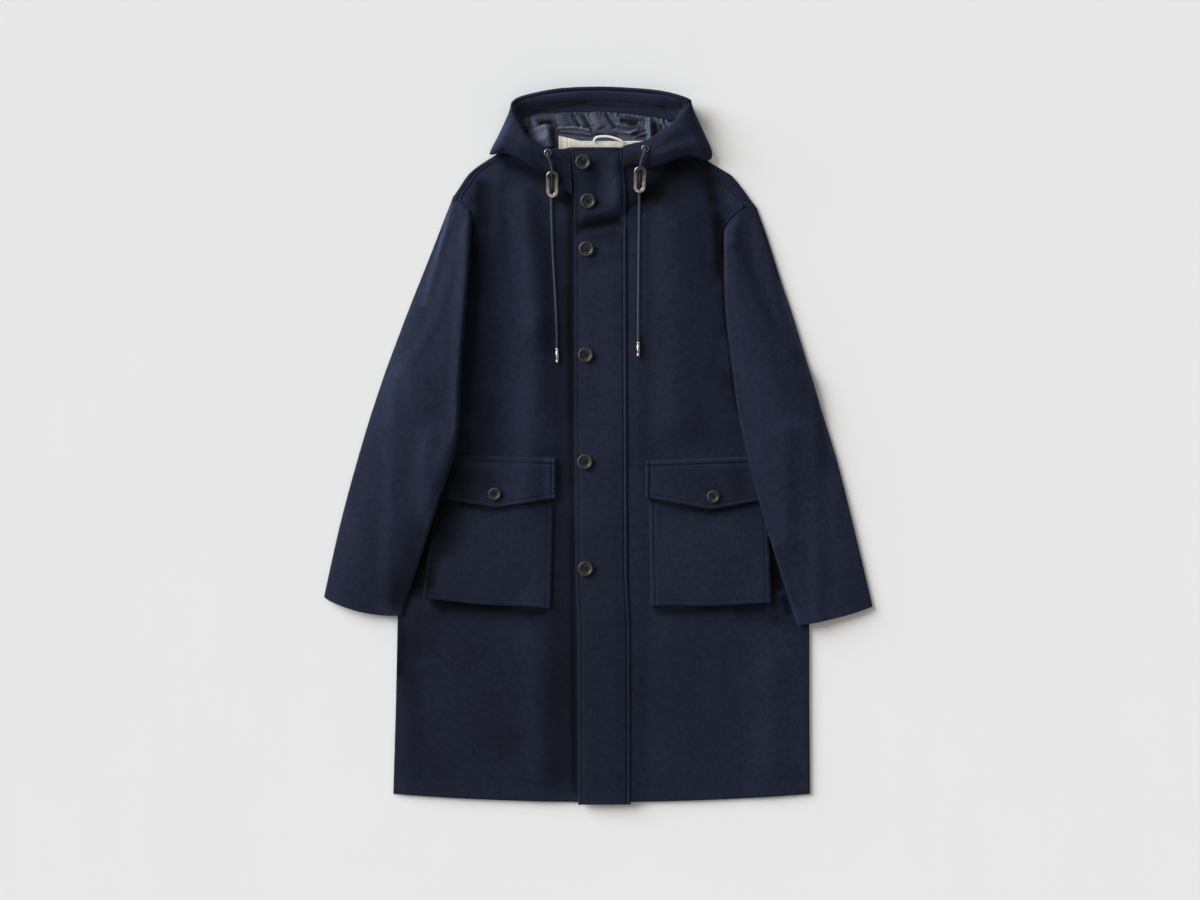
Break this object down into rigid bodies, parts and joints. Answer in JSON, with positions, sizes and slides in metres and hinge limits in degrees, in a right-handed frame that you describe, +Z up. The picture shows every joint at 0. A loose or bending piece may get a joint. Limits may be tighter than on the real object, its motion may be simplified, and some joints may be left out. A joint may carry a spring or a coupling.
{
  "type": "hooded wool parka, laid flat",
  "caption": "Long hooded wool coat laid flat on its back, buttoned, with flap pockets, drawcords with metal toggles, and an open lined hood.",
  "frame": {"origin": "on the ground under the middle of the coat's bounding box", "axes": "+Y from the hem to the hood, +X to the wearer's left, +Z up from the surface that the coat lies on"},
  "size_m": [0.824, 1.074, 0.0304],
  "materials": {
    "wool": "dense brushed melton wool, matt, dark navy",
    "satin": "smooth satin lining, dark slate navy, soft shine",
    "cotton": "cream cotton, matt",
    "cord": "round braided cord, blue-grey, matt",
    "horn": "dark horn-like resin, satin",
    "metal": "aged nickel, satin"
  },
  "bodies": {
    "root": {"aglet_left": "metal", "aglet_right": "metal", "back_panel": "wool", "drawcord_left": "cord", "drawcord_right": "cord", "eyelet_left": "metal", "eyelet_right": "metal", "front_button_1": "horn", "front_button_2": "horn", "front_button_3": "horn", "front_button_4": "horn", "front_button_5": "horn", "front_button_6": "horn", "front_left": "wool", "front_right": "wool", "hanger_loop": "cotton", "hood_back": "wool", "hood_facing": "wool", "hood_left": "wool", "hood_lining": "satin", "hood_right": "wool", "neck_band": "cotton", "placket": "wool", "pocket_button_left": "horn", "pocket_button_right": "horn", "pocket_flap_left": "wool", "pocket_flap_right": "wool", "pocket_patch_left": "wool", "pocket_patch_right": "wool", "shoulder_left": "wool", "shoulder_right": "wool", "sleeve_left_top": "wool", "sleeve_left_under": "wool", "sleeve_right_top": "wool", "sleeve_right_under": "wool", "toggle_left": "metal", "toggle_right": "metal"}
  },
  "joints": []
}
